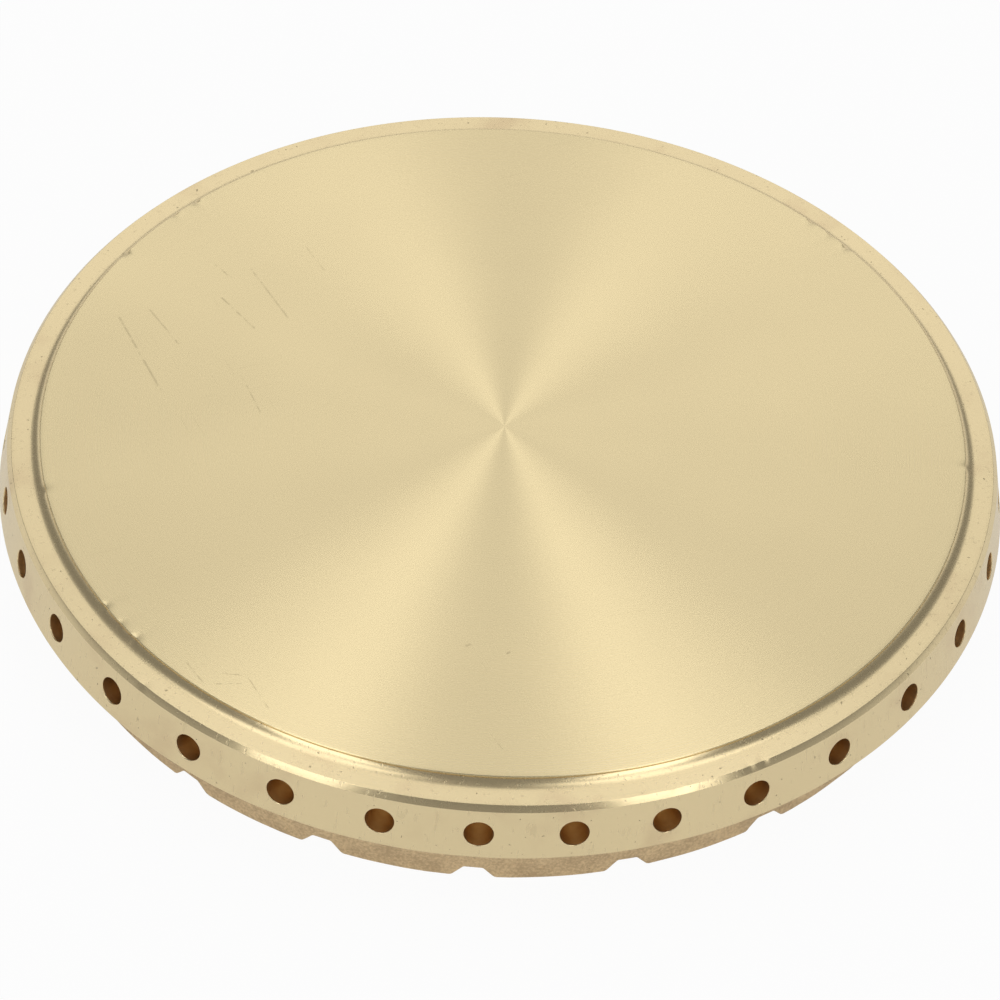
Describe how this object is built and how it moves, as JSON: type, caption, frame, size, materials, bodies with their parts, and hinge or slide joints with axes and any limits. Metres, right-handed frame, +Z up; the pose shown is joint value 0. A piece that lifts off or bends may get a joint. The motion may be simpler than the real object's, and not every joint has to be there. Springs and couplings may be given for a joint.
{
  "type": "burner flame spreader",
  "caption": "Round brass burner cap with a turned disc face, a flared wall of drilled flame ports and a notched skirt, hollow underneath.",
  "frame": {"origin": "On the axis of the cap, in the plane of the foot that stands on the burner cup.", "axes": "+Z points up, out of the turned disc, along the cap's axis. -Y is the side that faces the viewer, where port and notch azimuths are counted from."},
  "size_m": [0.1096, 0.1096, 0.0152],
  "materials": {
    "turned_brass": "sunray-turned, fine concentric tool marks on the disc's face",
    "machined_brass": "smooth-turned ledge, cove, chamfer and wall, with drilled ports",
    "forged_brass": "matt, as forged, on the skirt and inside the chamber"
  },
  "bodies": {
    "root": {"flame_spreader": "machined_brass"}
  },
  "joints": []
}
